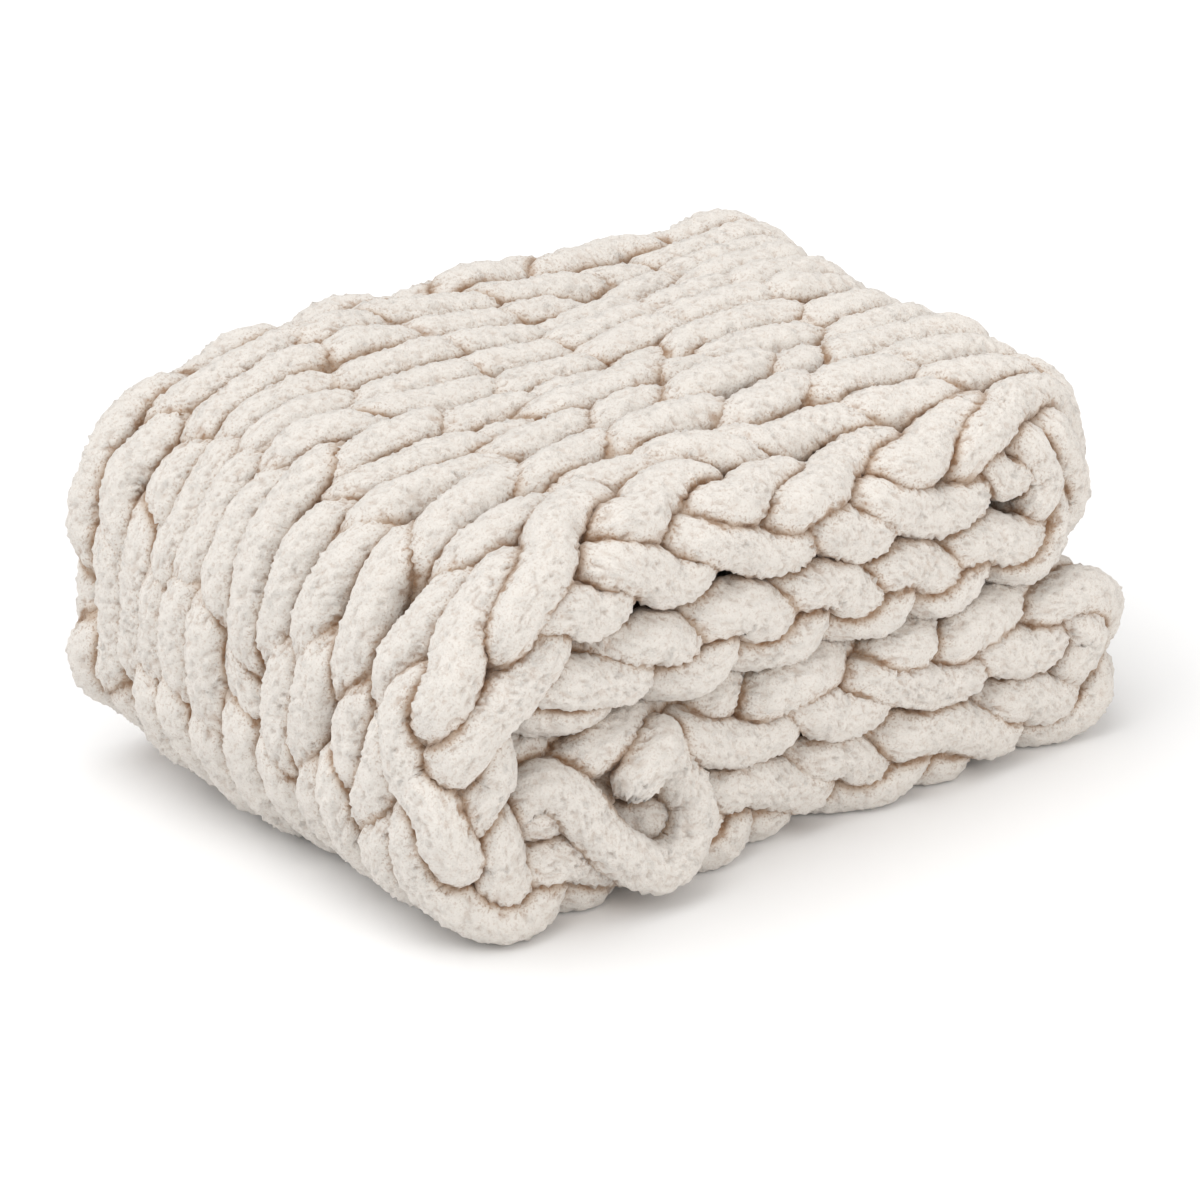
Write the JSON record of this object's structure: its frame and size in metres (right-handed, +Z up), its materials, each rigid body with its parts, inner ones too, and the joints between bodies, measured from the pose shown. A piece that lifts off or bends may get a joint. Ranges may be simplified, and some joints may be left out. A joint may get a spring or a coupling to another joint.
{
  "type": "folded throw blanket",
  "caption": "Chunky hand-knitted chenille throw, its ends turned in to the middle and then folded in half, so that the stack of plies opens like a book.",
  "frame": {"origin": "centre of the bounding box at its bottom face, on the surface that the throw lies on", "axes": "+X from the rounded spine to the end folds, along the wales; +Y from the front selvage to the back one; +Z up"},
  "size_m": [0.435, 0.305, 0.206],
  "materials": {
    "chenille_yarn": "matt cream chenille with a short fuzzy pile"
  },
  "bodies": {
    "lower_half": {"cast_on_edge": "chenille_yarn", "lower_flap_first_rows": "chenille_yarn", "lower_flap_last_rows": "chenille_yarn", "lower_end_fold_rows": "chenille_yarn", "base_ply_first_rows": "chenille_yarn", "base_ply_last_rows": "chenille_yarn", "spine_lower_rows": "chenille_yarn"},
    "upper_half": {"spine_upper_rows": "chenille_yarn", "top_ply_first_rows": "chenille_yarn", "top_ply_last_rows": "chenille_yarn", "upper_end_fold_rows": "chenille_yarn", "upper_flap_first_rows": "chenille_yarn", "upper_flap_last_rows": "chenille_yarn", "bind_off_edge": "chenille_yarn"}
  },
  "joints": [
    {"name": "spine_fold", "type": "hinge", "parent": "lower_half", "child": "upper_half", "pos_m": [-0.2175, 0, 0.103], "axis": [0, -1, 0], "range_deg": [0, 179.5]}
  ]
}
